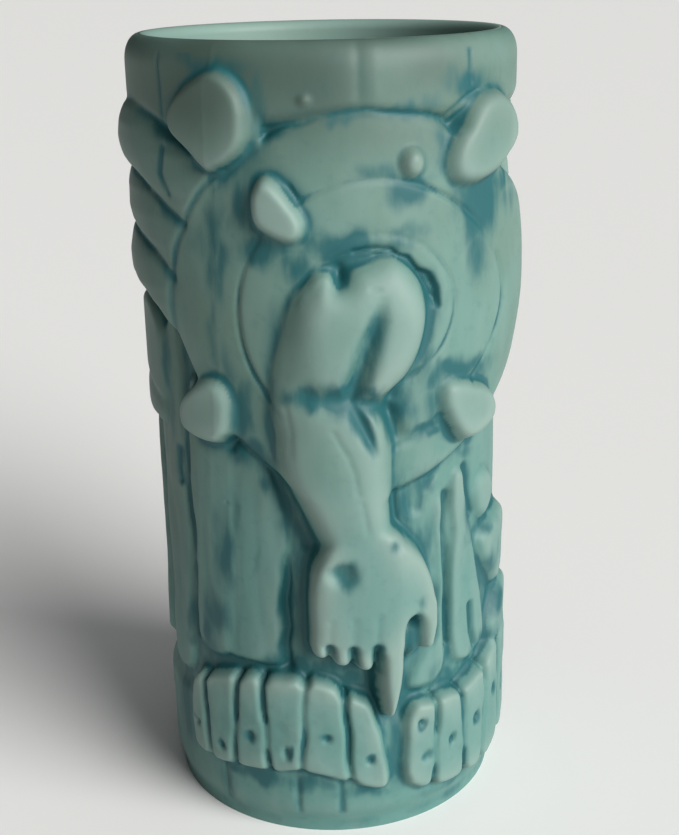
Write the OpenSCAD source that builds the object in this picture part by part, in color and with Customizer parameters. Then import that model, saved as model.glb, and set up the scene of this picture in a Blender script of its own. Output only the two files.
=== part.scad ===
// Ceramic tiki mug: a plain clay cylinder with carved pieces laid over it.
// +Z is up, the front faces -Y, and the origin is the centre of the foot.
// An azimuth of 0 is the front, and it grows towards +X.

/* [Vessel] */
// Height from the foot to the top of the lip
mug_h = 170; // [168:0.5:172]
// Radius of the plain wall between the carvings
body_r = 37.3; // [36.9:0.1:37.6]
// Thickness of the wall
wall_t = 4.3; // [3.5:0.1:5]
// Thickness of the floor
floor_t = 6; // [5:0.5:8]
// Radius of the rounded bottom corner
corner_r = 3; // [2:0.5:4]
// How far the inside of the lip opens out past the bore
lip_flare = 2.1; // [1.5:0.1:2.5]

/* [Collar and foot] */
// Outer radius of the collar round the mouth
collar_r = 40.6; // [40.2:0.1:41]
// Height of the collar's straight face below the lip
collar_h = 12; // [10:0.5:13]
// Outer radius of the band round the foot
foot_r = 38.6; // [38.2:0.1:39]
// Top of the foot band
foot_h = 28.4; // [27:0.1:29]

/* [Disc] */
// Radius of the whole disc
disc_rim = 39; // [38:0.5:40]
// Radius of the step round the middle ring
disc_mid = 26; // [25:0.5:27]
// Radius of the step round the hub
disc_hub_r = 15.2; // [14.5:0.1:16]
// Distance from the mug's axis to the face of the outer ring
disc_face = 41; // [40.8:0.1:41.4]
// How much each inner ring stands proud of the ring outside it
disc_step = 0.5; // [0.3:0.1:0.8]

/* [Applied pieces] */
// Distance from the axis to the crown of a stud
stud_top = 43.6; // [43:0.1:44.5]
// Distance from the axis to the crown of a strap
strap_top = 42.4; // [42:0.1:42.8]
// Distance from the axis to the face of a bark slab
bark_top = 38.9; // [38.5:0.1:39.2]
// Distance from the axis to the face of a tooth
tooth_top = 41; // [40.6:0.1:41.4]
// Distance from the axis to the top of the forearm
arm_top = 46.6; // [46:0.1:47]
// Distance from the axis to the top of the hand
hand_top = 45.2; // [44.6:0.1:45.6]

/* [Hidden] */
inner_r = body_r - wall_t;
lip_in_r = inner_r + lip_flare;
lip_in_round = body_r - lip_in_r;
lip_out_round = collar_r - body_r;
collar_taper = 6;
foot_round = 3.5;
outer_reach = 60;
// The middle of the disc as seen from the front: across, and up from the foot
disc_at = [7, 119.5];
mid_at = [8.7, 119];
hub_at = [9.5, 119.5];
// The disc's face leans out towards the right by this much
disc_lean = 1.2;
// The disc wraps round the right side until it is this far behind the axis
disc_wrap = 5;
// The broken hole in the disc that the arm comes out of
hole = [[-13, 96], [-10, 112], [-7, 121], [-5, 126], [0, 129.5], [6, 131], [13, 130.5],
        [16, 127.5], [20, 125], [21.5, 120], [20, 110], [15, 103], [14, 96]];

// Level part of each strap: its bottom and top
strap_z = [[143.4, 157], [131.4, 143], [118, 131]];
// Where each strap droops to at the left edge of the disc, as seen at strap_az
strap_az = -62;
strap_droop = [
    [[-16, 157], [-16, 143.4], [-6, 143], [3, 139.5], [13, 135], [22, 146], [8, 150.5]],
    [[-16, 143], [-16, 131.4], [-6, 130.5], [3, 128], [9, 126], [13, 134.4], [3, 139], [-6, 142.6]],
    [[-16, 131], [-16, 119], [-6, 117.5], [1, 115], [8, 107], [9, 125.4], [3, 127.6], [-6, 130]]
];
// Azimuths at which the level part of the straps ends, left and right of the disc
strap_left = -78;
strap_right = 98;

// Studs: the azimuth each one faces, then its outline across and up from there
upper_left_az = -32;
upper_left_at = [[-9.5, 155], [-8, 160.5], [0, 165.3], [4.5, 165.3], [8.5, 161], [8.7, 151],
                 [2, 147], [-5, 150]];
upper_right_az = 52;
upper_right_at = [[-12.5, 147], [-10, 153], [-4, 158.5], [3, 159.5], [9, 156], [11.5, 150],
                  [9, 145], [1, 142.6], [-6, 142], [-12, 143.5]];
inner_az = -12;
inner_at = [[-6.5, 139], [-5.5, 145], [-2, 146.6], [1.5, 144], [5.5, 138.5], [5, 134], [1, 132.8],
            [-5, 135.5]];
lower_left_az = -39;
lower_left_at = [[-8, 95], [-4, 101.5], [3.5, 105.5], [7.5, 103.5], [7.8, 95], [4, 91], [-7, 92.5]];
lower_right_az = 46;
lower_right_at = [[-10.5, 102], [-7.5, 104.5], [0, 102.3], [7, 98.8], [11, 94], [8, 90], [-2, 88.8],
                  [-6, 92]];

// Balls that a limb is wrapped round: across, up and radius
left_lobe_balls = [[-0.5, 123, 5.8], [-1.5, 112, 8.5], [-2.5, 103, 9.5]];
right_lobe_balls = [[10.5, 122.5, 7.8], [12.5, 115, 7.4], [10.5, 107.5, 5.5]];
forearm_balls = [[-0.5, 98, 11.5], [3.5, 82, 10], [6.5, 68, 8]];
hand_balls = [[3, 63, 7.5], [12, 63, 7], [1, 53, 5.5], [11, 52, 6]];
little_balls = [[-2, 53, 3.4], [-1.6, 47, 2.6]];
ring_balls = [[3, 52, 3.6], [3, 44.6, 2.8]];
middle_balls = [[7.4, 52, 3.8], [7, 43, 2.8]];
index_balls = [[11.4, 53, 4], [12, 41, 3.4], [11.8, 31, 2]];
thumb_balls = [[17.5, 61, 4.2], [20.3, 53, 3.4], [18.8, 46.5, 2.4]];

// The stretch of the front that each limb piece fills, as seen from the front
left_lobe_zone = [[-25, 101], [4.6, 101], [9, 120], [3.5, 140], [-25, 140]];
right_lobe_zone = [[5, 101], [30, 101], [30, 140], [3.9, 140], [9.4, 120]];
forearm_zone = [[-25, 66.4], [30, 66.4], [30, 100.6], [-25, 100.6]];
hand_zone = [[-20, 66], [-20, 50.2], [13.8, 50.2], [15.3, 55], [16.8, 66]];
thumb_zone = [[17.2, 66], [15.7, 55], [14.2, 50], [14.2, 40], [40, 40], [40, 66]];
little_zone = [[-10, 40], [0.5, 40], [0.5, 49.8], [-10, 49.8]];
ring_zone = [[0.8, 38], [5, 38], [5, 49.8], [0.8, 49.8]];
middle_zone = [[5.3, 36], [9.2, 36], [9.2, 49.8], [5.3, 49.8]];
index_zone = [[9.5, 25], [18, 25], [18, 49.8], [9.5, 49.8]];

// Bark slabs: azimuth, half width, bottom, top and how far the top leans across
bark = [
    [-25, 7.2, 43, 84, 1], [-47, 6.8, 42, 88, -1], [-70, 7, 30, 82, 1],
    [-93, 7.1, 32, 90, -1], [-116, 7.2, 33, 113, 1], [-139, 7.2, 32, 110, -1],
    [-162, 6.9, 34, 114, 1], [175, 7, 33, 110, 1], [152, 7.1, 32, 113, -1],
    [129, 7.2, 34, 111, 1], [106, 6.8, 33, 98, -1], [53, 6.6, 50, 80, 1.5], [31, 3.8, 40, 78, 2]
];
// Leaves on the right side: azimuth, middle height, half length and half width
leaves = [[66, 71, 6.5, 4], [80, 57, 8.5, 5], [86, 37, 9, 5.5]];

// The two rows of teeth: how many, first azimuth, last azimuth
left_teeth = 6;
left_from = -48;
left_to = 11.5;
right_teeth = 5;
right_from = 29;
right_to = 78;

glaze = [0.56, 0.72, 0.66];
glaze_dark = [0.42, 0.6, 0.56];
glaze_pale = [0.68, 0.82, 0.76];
glaze_grey = [0.5, 0.62, 0.55];

// Points along an arc round centre c
function arc(c, r, from, to, n) = [for (i = [0:n]) let (a = from + (to - from) * i / n) c + r * [cos(a), sin(a)]];

// Rounds a closed outline by cutting each corner, n times
function cut(p) = [for (i = [0:len(p) - 1]) let (a = p[i], b = p[(i + 1) % len(p)])
    each [0.78 * a + 0.22 * b, 0.22 * a + 0.78 * b]];
function soft(p, n = 2) = n == 0 ? p : soft(cut(p), n - 1);

// Everything seen through an outline from one azimuth
module seen_through(az, outline) {
    rotate([0, 0, az]) rotate([90, 0, 0]) linear_extrude(outer_reach) polygon(outline);
}

module core() {
    translate([0, 0, -1]) cylinder(r = body_r, h = mug_h + 2, $fn = 180);
}

module disc_round(at, r) {
    translate([at[0], disc_wrap, at[1]]) rotate([90, 0, 0]) cylinder(r = r, h = outer_reach, $fn = 120);
}

module disc_face_solid(step) {
    translate([disc_lean, 0, 0]) cylinder(r = disc_face + step, h = mug_h, $fn = 180);
}

module disc_solid() {
    difference() {
        intersection() {
            disc_round(disc_at, disc_rim);
            disc_face_solid(0);
        }
        seen_through(0, hole);
    }
}

module collar_profile() {
    polygon(concat([[body_r - 2, mug_h - collar_h - collar_taper], [body_r, mug_h - collar_h - collar_taper]],
        [[collar_r, mug_h - collar_h]],
        arc([body_r, mug_h - lip_out_round], lip_out_round, 0, 90, 8), [[body_r - 2, mug_h]]));
}

module collar_solid() {
    rotate_extrude($fn = 180) collar_profile();
}

// What an applied piece is laid over
module host() {
    core();
    collar_solid();
    disc_solid();
}

// A pebble of clay: an outline seen from az, crowned by a ball round the axis
module pebble(az, outline, crown, crown_z) {
    difference() {
        intersection() {
            seen_through(az, soft(outline));
            translate([0, 0, crown_z]) sphere(r = crown, $fn = 120);
        }
        host();
    }
}

// A plate of clay that follows the wall
module plate(az, outline, face) {
    difference() {
        intersection() {
            seen_through(az, soft(outline));
            cylinder(r = face, h = mug_h, $fn = 180);
        }
        host();
    }
}

// A limb: clay wrapped round a few balls that lie against the wall
module limb(balls, zone, top) {
    difference() {
        intersection() {
            hull() for (b = balls) let (out = top - b[2])
                translate([b[0], -sqrt(out * out - b[0] * b[0]), b[1]]) sphere(r = b[2], $fn = 26);
            seen_through(0, zone);
        }
        core();
        disc_solid();
    }
}

module vessel_wall() {
    color(glaze) rotate_extrude($fn = 180) polygon(concat([[inner_r, 0]],
        arc([body_r - corner_r, corner_r], corner_r, -90, 0, 6), [[body_r, mug_h]],
        arc([body_r, mug_h - lip_in_round], lip_in_round, 90, 180, 6),
        [[lip_in_r, mug_h - 8], [inner_r, mug_h - 20]]));
}

module vessel_floor() {
    color(glaze) cylinder(r = inner_r, h = floor_t, $fn = 180);
}

module rim_collar() {
    color(glaze) difference() {
        collar_solid();
        core();
        seen_through(upper_left_az, soft(upper_left_at));
    }
}

module foot_band() {
    color(glaze) rotate_extrude($fn = 180) polygon([[body_r, corner_r], [foot_r - 0.5, corner_r + 1.2],
        [foot_r, corner_r + foot_round], [foot_r, foot_h - 2], [foot_r - 0.4, foot_h - 0.7], [body_r, foot_h]]);
}

// One ring of the disc: inside at/r, outside the next circle in
module disc_ring(at, r, step) {
    intersection() {
        disc_round(at, r);
        difference() {
            disc_face_solid(step);
            core();
            collar_solid();
            seen_through(0, hole);
        }
    }
}

module disc_outer_ring() {
    color(glaze) difference() {
        disc_ring(disc_at, disc_rim, 0);
        disc_round(mid_at, disc_mid);
    }
}

module disc_middle_ring() {
    color(glaze_pale) difference() {
        disc_ring(mid_at, disc_mid, disc_step);
        disc_round(hub_at, disc_hub_r);
    }
}

module disc_hub() {
    color(glaze_dark) disc_ring(hub_at, disc_hub_r, 2 * disc_step);
}

// A round bead half sunk in the face at radius out, cut away from its children
module bead(x, z, r, out) {
    difference() {
        translate([x, -sqrt(out * out - x * x), z]) sphere(r = r, $fn = 40);
        children();
    }
}

module disc_bead() {
    color(glaze_pale) bead(16.7, 147.5, 2.8, disc_face) disc_face_solid(0);
}

module collar_bead() {
    color(glaze_pale) bead(-3.5, 159.5, 1.5, collar_r) cylinder(r = collar_r, h = mug_h, $fn = 180);
}

module arm_left_lobe() {
    color(glaze_pale) limb(left_lobe_balls, left_lobe_zone, arm_top);
}

module arm_right_lobe() {
    color(glaze_pale) limb(right_lobe_balls, right_lobe_zone, arm_top);
}

module forearm() {
    color(glaze_pale) limb(forearm_balls, forearm_zone, arm_top);
}

module hand() {
    color(glaze_pale) limb(hand_balls, hand_zone, hand_top);
}

module thumb() {
    color(glaze_pale) limb(thumb_balls, thumb_zone, hand_top - 1.5);
}

module index_finger() {
    color(glaze_pale) limb(index_balls, index_zone, hand_top);
}

module middle_finger() {
    color(glaze_pale) limb(middle_balls, middle_zone, hand_top - 0.4);
}

module ring_finger() {
    color(glaze_pale) limb(ring_balls, ring_zone, hand_top - 0.8);
}

module little_finger() {
    color(glaze_pale) limb(little_balls, little_zone, hand_top - 1.4);
}

module stud_upper_left() {
    color(glaze_pale) pebble(upper_left_az, upper_left_at, stud_top, 156);
}

module stud_upper_right() {
    color(glaze_pale) pebble(upper_right_az, upper_right_at, stud_top, 150);
}

module stud_inner() {
    color(glaze_pale) pebble(inner_az, inner_at, stud_top + 1, 140);
}

module stud_lower_left() {
    color(glaze_pale) pebble(lower_left_az, lower_left_at, stud_top, 97);
}

module stud_lower_right() {
    color(glaze_pale) pebble(lower_right_az, lower_right_at, stud_top, 96);
}

// Level part of strap i, round the back: a bulging band
module strap_band(i) {
    low = strap_z[i][0];
    high = strap_z[i][1];
    fall = 1.6 - 0.3 * i;
    rotate([0, 0, strap_right - 90]) rotate_extrude(angle = 360 + strap_left - strap_right, $fn = 180)
        polygon([[body_r, low], [strap_top - fall, low + 0.6], [strap_top, low + 4], [strap_top, high - 6],
            [strap_top - fall, high - 1.5], [body_r, high]]);
}

module strap(i) {
    color(glaze_grey) difference() {
        union() {
            strap_band(i);
            intersection() {
                seen_through(strap_az, strap_droop[i]);
                cylinder(r = strap_top - 0.6, h = mug_h, $fn = 180);
            }
        }
        host();
        seen_through(upper_left_az, soft(upper_left_at));
    }
}

module side_drape() {
    color(glaze_grey) pebble(-84, [[-9, 91], [-10, 100], [-7, 110], [0, 115], [7, 111], [9, 100], [7, 92], [0, 89]],
        bark_top + 1.4, 99);
}

module bark_slab(i) {
    b = bark[i];
    w = b[1];
    color(glaze) plate(b[0], [[-w, b[2] + 3], [-w * 0.9 + b[4], b[3] - 4], [b[4], b[3]], [w * 0.9 + b[4], b[3] - 6],
        [w, b[2] + 2], [0, b[2]]], bark_top - 0.25 * (i % 2));
}

module leaf(i) {
    l = leaves[i];
    color(glaze_grey) plate(l[0], [[-l[3], l[1] - 2], [-l[3] * 0.7, l[1] + l[2] * 0.8], [0, l[1] + l[2]],
        [l[3], l[1] + 1], [l[3] * 0.6, l[1] - l[2]], [-l[3] * 0.5, l[1] - l[2] * 0.9]], bark_top + 0.9 + 0.3 * i);
}

// Outline of one tooth, w wide, from low to high
function tooth_outline(w, low, high) = [[-w, low + 1], [-w, high - 2], [-w * 0.5, high], [w * 0.5, high],
    [w, high - 2], [w, low + 1], [w * 0.5, low], [-w * 0.5, low]];

// Top and bottom edge of each row of teeth, at azimuth az
function left_high(az) = 39.5 - 0.0055 * pow(az + 16, 2);
function left_low(az) = 15 - 0.002 * pow(az + 14, 2);
function right_high(az) = 32 + 0.09 * (az - 29);
function right_low(az) = 8;

module tooth(az, pitch, low, high, n) {
    w = body_r * pitch * PI / 360 - 0.15;
    color(glaze_pale) plate(az, tooth_outline(w, low, high), tooth_top - 0.3 * (n % 2));
}

module tooth_left(i) {
    pitch = (left_to - left_from) / left_teeth;
    az = left_from + pitch * (i + 0.5);
    tooth(az, pitch, left_low(az), left_high(az), i);
}

module tooth_right(i) {
    pitch = (right_to - right_from) / right_teeth;
    az = right_from + pitch * (i + 0.5);
    tooth(az, pitch, right_low(az), right_high(az), i);
}

vessel_wall();
vessel_floor();
rim_collar();
foot_band();
disc_outer_ring();
disc_middle_ring();
disc_hub();
disc_bead();
collar_bead();
arm_left_lobe();
arm_right_lobe();
forearm();
hand();
thumb();
index_finger();
middle_finger();
ring_finger();
little_finger();
stud_upper_left();
stud_upper_right();
stud_inner();
stud_lower_left();
stud_lower_right();
strap(0);  // strap_upper
strap(1);  // strap_middle
strap(2);  // strap_lower
side_drape();
for (i = [0:len(bark) - 1]) bark_slab(i);
for (i = [0:len(leaves) - 1]) leaf(i);
for (i = [0:left_teeth - 1]) tooth_left(i);
for (i = [0:right_teeth - 1]) tooth_right(i);
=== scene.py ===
import math

import bpy
import numpy as np
from mathutils import Matrix, Vector


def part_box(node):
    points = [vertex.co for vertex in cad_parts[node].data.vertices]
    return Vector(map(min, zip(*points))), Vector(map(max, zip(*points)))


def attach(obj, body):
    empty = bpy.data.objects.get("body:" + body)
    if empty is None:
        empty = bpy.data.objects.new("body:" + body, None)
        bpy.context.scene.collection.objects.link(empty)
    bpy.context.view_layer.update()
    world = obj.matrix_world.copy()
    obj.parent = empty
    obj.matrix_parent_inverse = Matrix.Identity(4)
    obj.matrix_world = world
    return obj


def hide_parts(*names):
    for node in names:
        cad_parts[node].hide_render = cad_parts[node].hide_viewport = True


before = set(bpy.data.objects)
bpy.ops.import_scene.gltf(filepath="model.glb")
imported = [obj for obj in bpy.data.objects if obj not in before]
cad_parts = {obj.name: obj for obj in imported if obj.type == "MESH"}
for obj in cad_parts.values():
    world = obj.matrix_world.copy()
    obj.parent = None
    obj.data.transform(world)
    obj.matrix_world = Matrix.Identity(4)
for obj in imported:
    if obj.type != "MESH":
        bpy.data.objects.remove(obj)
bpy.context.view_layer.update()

# The outside of the mug is one height field: how far the clay stands from the axis, at each azimuth and
# height. Each piece of clay is laid on it in turn, then cut out of it as a closed mesh of its own.
# The sculpting is in millimetres, and azimuth 0 is the front (-Y), growing towards +X.

MM = 1000.0


def cad(node):
    """A CAD node's lowest and highest corner, in millimetres."""
    low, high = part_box(node)
    return np.array(low) * MM, np.array(high) * MM


BODY_R = cad("vessel_wall")[1][0]
MUG_H = cad("vessel_wall")[1][2]
BORE_R = cad("vessel_floor")[1][0]
FLOOR_T = cad("vessel_floor")[1][2]
COLLAR_R = cad("rim_collar")[1][0]
FOOT_R = cad("foot_band")[1][0]
FOOT_TOP = cad("foot_band")[1][2]
CORNER_R = cad("foot_band")[0][2]
LIP_R = COLLAR_R - BODY_R
# The lip rounds over more slowly on its way up than it does across
LIP_ROUND = 5.0
# The mouth flares by this much, over the round inside of the lip.
LIP_FLARE = 2.1
MOUTH_R = BORE_R + LIP_FLARE
LIP_BACK = BODY_R - MOUTH_R
# The disc's outer edge and the edges of its two inner rings: centre and radius
DISC_AT, DISC_R = (7.4, 119.3), 38.8
MID_AT, MID_R = (8.7, 119.0), 26.0
HUB_AT, HUB_R = (9.5, 119.5), 15.2
# How far from the axis the clay comes, before it bends and wanders
BARK_TOP, DISC_TOP, ARM_TOP, HAND_TOP, TOOTH_TOP = 38.7, 41.0, 46.2, 45.4, 41.0
# Grooves this deep are fully coloured
FULL_WASH_DEPTH = 1.6
# The collar's lower edge on the right; on the left it is the top strap's.
COLLAR_LOW = 157.6

# Arcs on the surface are measured at this radius, so 1 mm of arc is always the same azimuth.
ARC_R = 40.0
# Steps of the grid on the front, which is between two azimuths, and on the back
FINE, COARSE = 0.4, 0.9
FRONT_FROM, FRONT_TO = -93.0, 102.0
# How deep under the surface each piece of clay goes
SKIN_R = BODY_R - 1.6
# The height where that skin starts to go out
SKIN_BEND = MUG_H - 14
# A distance that counts as well away from an outline
FAR = 9.0
# Patches of fewer cells than this aren't left on their own
SMALLEST_PATCH = 14


# ---- helpers


def smooth(x, low, high):
    t = np.clip((x - low) / (high - low), 0, 1)
    return t * t * (3 - 2 * t)


def bell(x, width):
    """1 where x is 0, falling off smoothly over a width."""
    return np.exp(-((x / width) ** 2))


def overlap(*distances):
    """Distance to what several outlines have in common."""
    return np.maximum.reduce(distances)


def soft(points, rounds):
    """Rounds a closed outline by cutting its corners."""
    p = np.array(points, float)
    for _ in range(rounds):
        q = np.roll(p, -1, axis=0)
        p = np.stack([0.78 * p + 0.22 * q, 0.22 * p + 0.78 * q], 1).reshape(-1, 2)
    return p


def segment_distance(x, y, a, b):
    """Distance to a straight stretch from a to b, squared."""
    ex, ey = b[0] - a[0], b[1] - a[1]
    t = np.clip(((x - a[0]) * ex + (y - a[1]) * ey) / max(ex * ex + ey * ey, 1e-9), 0, 1)
    return (x - a[0] - t * ex) ** 2 + (y - a[1] - t * ey) ** 2


def near(x, y, points, margin):
    """Where the box round the points is no further than a margin."""
    p = np.array(points)
    low, high = p.min(0) - margin, p.max(0) + margin
    return (x > low[0]) & (x < high[0]) & (y > low[1]) & (y < high[1])


def outline_distance(x, y, points):
    """Signed distance to a closed outline, negative inside, and FAR well away from it."""
    out = np.full(x.shape, FAR)
    close = near(x, y, points, FAR)
    px, py = x[close], y[close]
    best, inside = np.full(px.shape, FAR * FAR), np.zeros(px.shape, bool)
    for a, b in zip(points, np.roll(points, -1, axis=0)):
        best = np.minimum(best, segment_distance(px, py, a, b))
        crosses = (a[1] > py) != (b[1] > py)
        slope = (b[0] - a[0]) / (b[1] - a[1]) if b[1] != a[1] else 0.0
        inside ^= crosses & (px < a[0] + (py - a[1]) * slope)
    out[close] = np.sqrt(best) * np.where(inside, -1, 1)
    return out


def line_distance(x, y, points):
    """Distance to an open line, and FAR well away from it."""
    out = np.full(x.shape, FAR)
    close = near(x, y, points, 4.0)
    px, py = x[close], y[close]
    best = np.full(px.shape, FAR * FAR)
    for a, b in zip(points, points[1:]):
        best = np.minimum(best, segment_distance(px, py, a, b))
    out[close] = np.sqrt(best)
    return out


def noise(az, z, size_s, size_z, seed):
    """Smooth noise from -1 to 1 that closes on itself round the mug."""
    n = max(4, round(2 * math.pi * ARC_R / size_s))
    m = int(200 / size_z) + 4
    table = np.random.default_rng(seed).uniform(-1, 1, (m, n))
    u, v = (az % 360) / 360 * n, (z + 10) / size_z
    i, j = np.floor(u).astype(int), np.floor(v).astype(int)
    fu, fv = u - i, v - j
    fu, fv = fu * fu * (3 - 2 * fu), fv * fv * (3 - 2 * fv)
    i, j = i % n, np.clip(j, 0, m - 2)
    k = (i + 1) % n
    low = table[j, i] * (1 - fu) + table[j, k] * fu
    high = table[j + 1, i] * (1 - fu) + table[j + 1, k] * fu
    return low * (1 - fv) + high * fv


def blur(field, sigma):
    """Gaussian blur over the grid, round the mug and up it; sigma is in cells."""
    reach = int(3 * sigma) + 1
    k = np.exp(-0.5 * (np.arange(-reach, reach + 1) / sigma) ** 2)
    k /= k.sum()
    out = sum(w * np.roll(field, d, axis=1) for w, d in zip(k, range(-reach, reach + 1)))
    padded = np.pad(out, ((reach, reach), (0, 0)), mode="edge")
    return sum(w * padded[i : i + field.shape[0]] for i, w in enumerate(k))


# ---- the clay


class Clay:
    """The height field r, what is cut in it, the wash on it, and the pieces laid on it in order."""

    def __init__(self, az, z, plain):
        self.az, self.z, self.r = az, z, plain.copy()
        self.laid = []
        self.wash = np.zeros(az.shape)
        self.cut = np.zeros(az.shape)
        # How far the edges of the patches of wash wander, sideways and upwards
        self.warp_s = 1.1 * noise(az, z, 4, 5, 1) + 0.5 * noise(az, z, 1.6, 3, 2)
        self.warp_z = 1.3 * noise(az, z, 4, 5, 3) + 0.7 * noise(az, z, 1.4, 4, 4)

    def noise(self, size_s, size_z, seed):
        return noise(self.az, self.z, size_s, size_z, seed)

    def across(self, az=0.0):
        """Arc from an azimuth, to the right."""
        return np.radians((self.az - az + 180) % 360 - 180) * ARC_R

    def turned(self):
        """Azimuth, with what is past the right side counted round from the left."""
        return np.where(self.az > 140, self.az - 360, self.az)

    def outline(self, points, az=0.0, rounds=2):
        """Distance to an outline of arcs from an azimuth and heights."""
        return outline_distance(self.across(az), self.z, soft(points, rounds))

    def oval(self, at, radii):
        """Distance to an oval, near enough for a small one."""
        x, y = (self.across() - at[0]) / radii[0], (self.z - at[1]) / radii[1]
        return (np.hypot(x, y) - 1) * min(radii)

    def lay(self, name, distance, crown, edge, power=2.2):
        """Raises the clay inside an outline to crown, rounded over the width of its edge."""
        t = np.clip(-distance / edge, 0, 1)
        cover = 1 - (1 - t) ** power
        self.r = self.r + (crown - self.r) * cover
        self.cut *= 1 - cover
        self.wash *= 1 - cover
        self.claim(name, distance)

    def claim(self, name, distance):
        """Gives what is inside an outline to a piece."""
        if name:
            self.laid.append((name, distance))

    def carve(self, depth):
        """Cuts to a depth, no deeper where cuts meet."""
        self.cut = np.maximum(self.cut, depth)

    def tint(self, amount):
        """Colours with wash, no stronger where patches meet."""
        self.wash = np.maximum(self.wash, amount)

    def groove(self, points, width, depth, az=0.0, wash=0.0):
        """Cuts a soft groove along a line."""
        d = line_distance(self.across(az), self.z, points)
        self.carve(depth * bell(d, width))
        if wash:
            self.tint(wash * bell(d, width + 0.6))

    def valley(self, points):
        """A washed groove that changes along its way: points are arc, height, width and depth."""
        for a, b in zip(points, points[1:]):
            ex, ey = b[0] - a[0], b[1] - a[1]
            x, y = self.across() - a[0], self.z - a[1]
            t = np.clip((x * ex + y * ey) / (ex * ex + ey * ey), 0, 1)
            d = np.hypot(x - t * ex, y - t * ey)
            width, depth = a[2] + t * (b[2] - a[2]), a[3] + t * (b[3] - a[3])
            self.carve(depth * bell(d, width))
            self.tint(np.minimum(1, depth / FULL_WASH_DEPTH) * bell(d, width + 0.5))

    def stain(self, at, radii, amount):
        """A patch of wash, soft at its edge."""
        x = (self.across() + self.warp_s - at[0]) / radii[0]
        y = (self.z + self.warp_z - at[1]) / radii[1]
        self.tint(amount * (1 - smooth(np.hypot(x, y), 0.0, 2.0)))

    def dent(self, at, radii, depth):
        """Presses a round hollow with a flat bottom."""
        x, y = (self.across() - at[0]) / radii[0], (self.z - at[1]) / radii[1]
        self.carve(depth * np.exp(-((x * x + y * y) ** 1.5)))


def plain_profile(z):
    """Radius of the mug before anything is laid on it: wall, foot band and collar."""
    in_foot = smooth(z, CORNER_R - 1.5, CORNER_R + 4) * (1 - smooth(z, FOOT_TOP - 3, FOOT_TOP + 1))
    in_collar = smooth(z, COLLAR_LOW - 6.1, COLLAR_LOW + 0.4)
    return BODY_R + (FOOT_R - BODY_R) * in_foot + (COLLAR_R - BODY_R) * in_collar


# Edges of the straps: arc from the front and height, from the side to the disc
STRAP_LINES = {
    "top": ([-60, -52, -47, -40, -30, -20, -12], [157.6, 157.8, 158, 156, 151.5, 147, 143]),
    "upper": ([-60, -52, -45, -38, -31, -26, -20], [144.2, 144, 143, 140, 136.3, 132, 127]),
    "middle": ([-60, -52, -45, -40, -36, -32, -26], [131.6, 131.4, 130.2, 128.5, 126, 122, 116]),
    "lower": ([-60, -52, -45, -40, -35, -31, -26], [120, 120.4, 118.4, 116, 112.5, 107, 100]),
}
# The azimuth on the right where the straps end, and how far out their edges are
STRAP_END = 93
STRAP_EDGE_R = BODY_R + 2.8
# Arc that one degree makes on the surface, roughly
MM_PER_DEGREE = 0.7


def strap_line(clay, name):
    # Past the side the edges run on at one height, so any arc beyond the first point will do.
    s = np.where(clay.az > 90, -FAR * 8, clay.across())
    wander = 0.9 * noise(clay.az, np.full(clay.z.shape, len(name) * 9.0), 28, 40, 5)
    return np.interp(s, *STRAP_LINES[name]) + wander * smooth(-s, 50, 62)


def lay_straps(clay):
    s, z = clay.across(), clay.z
    lines = [strap_line(clay, n) for n in ("lower", "middle", "upper", "top")]
    left_end = s + 13
    behind = clay.az > 90
    full = smooth(clay.az, 96, 112) * behind + ~behind * smooth(-s, 26, 50)
    streak = 0.12 * clay.noise(16, 1.6, 21)
    # They lie on one mass of clay, so the hollows between them aren't deep.
    ends = np.where(behind, (STRAP_END + 3 - clay.az) * MM_PER_DEGREE, left_end)
    base = overlap(lines[0] + 0.6 - z, z - lines[3], ends)
    clay.lay(None, base, BODY_R + 2.0, 2.0)
    for name, low, high, top, slump in (
        ("strap_lower", lines[0], lines[1], 41.9, 0.36),
        ("strap_middle", lines[1], lines[2], 41.5, 0.42),
        ("strap_upper", lines[2], lines[3], 42.9, 0.45),
    ):
        t = np.clip((z - low) / (high - low), 0, 1)
        bulge = np.sin(math.pi * t ** (math.log(0.5) / math.log(slump))) ** 0.55
        crown = STRAP_EDGE_R + (top - STRAP_EDGE_R) * (0.3 + 0.7 * full) * bulge + streak
        round_end = (STRAP_END - clay.az) * MM_PER_DEGREE + 3 * (2 * t - 1) ** 4
        ends = np.where(behind, round_end, left_end)
        distance = overlap(low - z, z - high, ends)
        clay.lay(name, distance, crown, 0.9)
        # Teal wash along the top of each strap. It also paints the shade under the edge of the strap above.
        wash_and_shade_under_strap = 0.75 * bell(high - z, 2.6) * (distance < 0) * ~behind
        clay.tint(wash_and_shade_under_strap * smooth(s, -56, -36))


def disc_across(az):
    """How far across the disc an azimuth is, as seen from the front; the disc goes on past the side."""
    bend = 60.0
    at_bend = DISC_TOP * math.sin(math.radians(bend))
    over = np.radians(az - bend) * DISC_TOP * 0.42
    return np.where(az > bend, at_bend + over, DISC_TOP * np.sin(np.radians(az)))


def disc_distance(clay, at, radius):
    az = clay.turned()
    d = np.hypot(disc_across(az) - at[0], clay.z - at[1]) - radius
    return np.where((az > -75) & (az < 112), d, FAR)


# The crack round the top of the arm, and the gap it opens into on the right
CRACK = [
    (5, 131.6), (8.6, 132.2), (12.2, 131.8), (13.4, 130.4), (15.4, 129.8), (17.4, 127.2), (20, 126),
    (21.6, 123), (22, 119.6),
]
GAP = [
    (16.4, 128.2), (18.4, 127), (20.8, 125.8), (22.3, 123), (22.5, 120.4), (21.3, 119), (20.4, 121),
    (19.6, 123.6), (17.8, 126.2),
]
# The middle of the disc, which is sunk round the arm
SUNKEN = [
    (0, 112), (-3, 120), (-3.4, 126), (-1, 130), (3, 132), (9, 132), (14.6, 130.4), (18.6, 127),
    (21.8, 124), (22.4, 119), (21, 112), (18.6, 106), (16, 100), (10, 97), (0, 99),
]


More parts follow.
